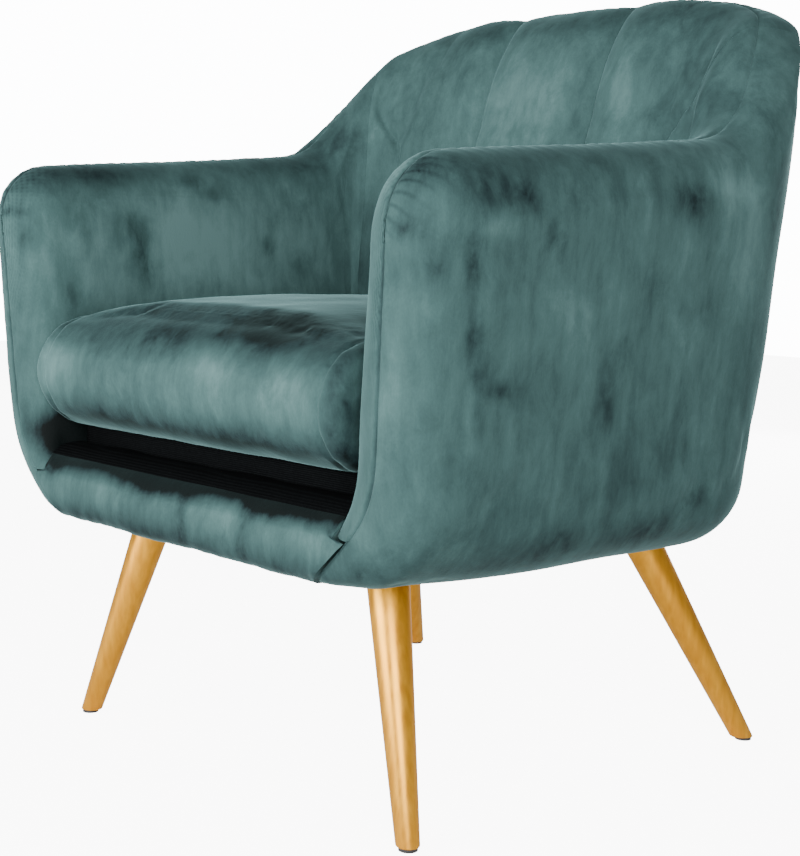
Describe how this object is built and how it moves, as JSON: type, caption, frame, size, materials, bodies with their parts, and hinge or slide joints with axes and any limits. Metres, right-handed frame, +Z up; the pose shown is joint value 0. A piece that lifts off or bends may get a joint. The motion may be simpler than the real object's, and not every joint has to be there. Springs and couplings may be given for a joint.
{
  "type": "tub armchair",
  "caption": "Tub armchair in teal velvet with a curved channelled back, flared bull-nosed arms, a loose seat cushion and splayed gold legs.",
  "frame": {"origin": "middle of the chair's outline in plan, at floor level", "axes": "+X towards the sitter's left arm, the front faces -Y, +Z up"},
  "size_m": [0.7144, 0.6358, 0.81],
  "materials": {
    "velvet": "crushed velvet pile, teal",
    "gold": "satin gold",
    "timber": "sawn",
    "steel": "zinc plated",
    "webbing": "woven elastic",
    "foam": "open-cell foam",
    "felt": "pressed felt",
    "lining": "spun-bonded cloth",
    "zipper": "moulded"
  },
  "bodies": {
    "chair": {"arm_inside_pad_left": "velvet", "arm_inside_pad_right": "velvet", "arm_outside_pad_left": "velvet", "arm_outside_pad_right": "velvet", "arm_panel_left": "timber", "arm_panel_right": "timber", "back_inside_pad": "velvet", "back_lower_rail": "timber", "back_outside_pad": "velvet", "back_post_left": "timber", "back_post_right": "timber", "back_top_rail": "timber", "back_webbing_left": "webbing", "back_webbing_middle": "webbing", "back_webbing_right": "webbing", "base_front_rail": "timber", "base_rear_rail": "timber", "base_side_rail_left": "timber", "base_side_rail_right": "timber", "corner_block_front_left": "timber", "corner_block_front_right": "timber", "corner_block_rear_left": "timber", "corner_block_rear_right": "timber", "dust_cover": "lining", "front_rail_pad": "velvet", "glide_front_left": "felt", "glide_front_right": "felt", "glide_rear_left": "felt", "glide_rear_right": "felt", "leg_bolt_front_left": "steel", "leg_bolt_front_right": "steel", "leg_bolt_rear_left": "steel", "leg_bolt_rear_right": "steel", "leg_front_left": "gold", "leg_front_right": "gold", "leg_plate_front_left": "steel", "leg_plate_front_right": "steel", "leg_plate_rear_left": "steel", "leg_plate_rear_right": "steel", "leg_rear_left": "gold", "leg_rear_right": "gold", "seat_deck_pad": "foam", "seat_webbing_crosswise_1": "webbing", "seat_webbing_crosswise_2": "webbing", "seat_webbing_crosswise_3": "webbing", "seat_webbing_crosswise_4": "webbing", "seat_webbing_lengthwise_1": "webbing", "seat_webbing_lengthwise_2": "webbing", "seat_webbing_lengthwise_3": "webbing", "seat_webbing_lengthwise_4": "webbing"},
    "cushion": {"seat_cushion_cover": "velvet", "seat_cushion_foam": "foam", "cushion_zip_tape": "zipper"},
    "zip_slider": {"cushion_zip_slider": "steel"}
  },
  "joints": [
    {"name": "cushion_lift", "type": "slide", "parent": "chair", "child": "cushion", "axis": [0, 0, 1], "range_m": [0, 0.2]},
    {"name": "zip_slide", "type": "slide", "parent": "cushion", "child": "zip_slider", "axis": [1, 0, 0], "range_m": [-0.32, 0]}
  ]
}
